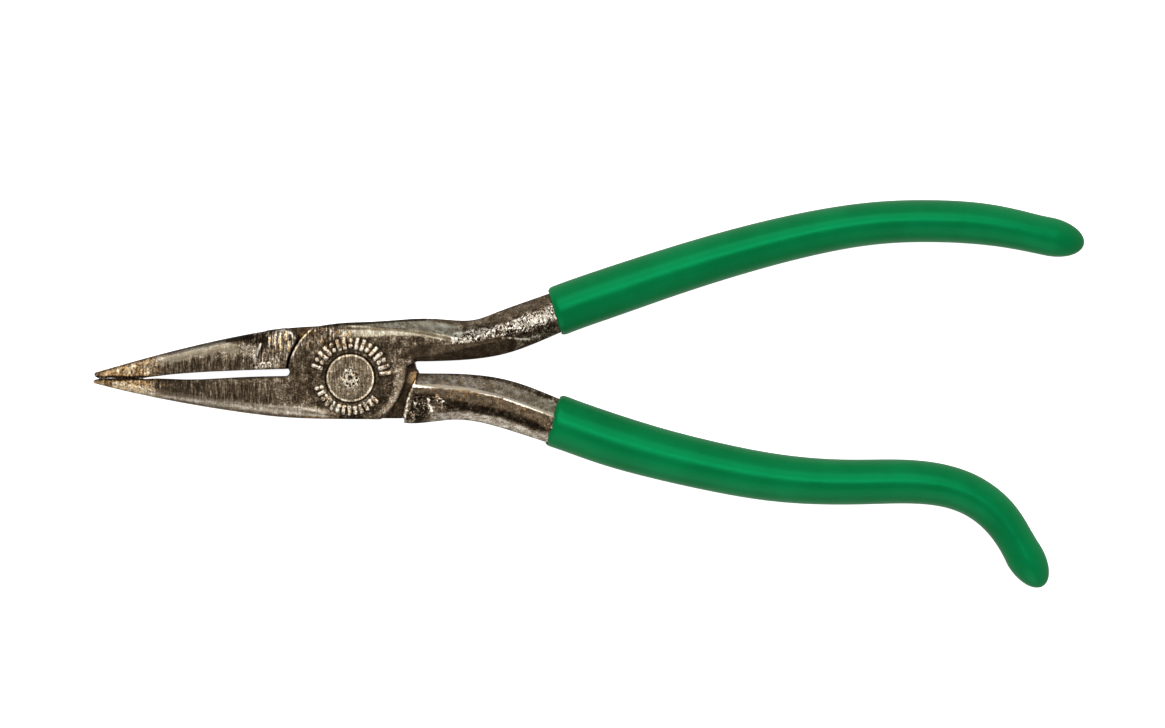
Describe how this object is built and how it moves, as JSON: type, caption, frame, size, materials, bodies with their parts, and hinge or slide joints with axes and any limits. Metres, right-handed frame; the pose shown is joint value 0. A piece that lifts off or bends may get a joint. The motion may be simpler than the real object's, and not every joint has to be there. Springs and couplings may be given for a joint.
{
  "type": "long-nose pliers",
  "caption": "Slim long-nose pliers with a riveted lap joint, fine jaw serrations, dipped vinyl grips and one handle bent outwards into a hook.",
  "frame": {"origin": "rivet axis, at the flush back face of the joint", "axes": "+X from the joint towards the handle ends, with the tips at -X; +Y towards the straight handle; +Z out of the front of the joint along the rivet"},
  "size_m": [0.1902, 0.0745, 0.0103],
  "materials": {
    "forged_steel": "worn nickel plate over ground forged steel, brown patina and pits",
    "rivet_steel": "peened flush and ground, worn",
    "green_dip": "satin dipped vinyl"
  },
  "bodies": {
    "front_half": {"front_lever": "forged_steel", "straight_grip": "green_dip", "pivot_rivet": "rivet_steel"},
    "rear_half": {"rear_lever": "forged_steel", "hooked_grip": "green_dip"}
  },
  "joints": [
    {"name": "jaw_pivot", "type": "hinge", "parent": "front_half", "child": "rear_half", "pos_m": [0, 0, 0.005], "axis": [0, 0, -1], "range_deg": [0, 60]}
  ]
}
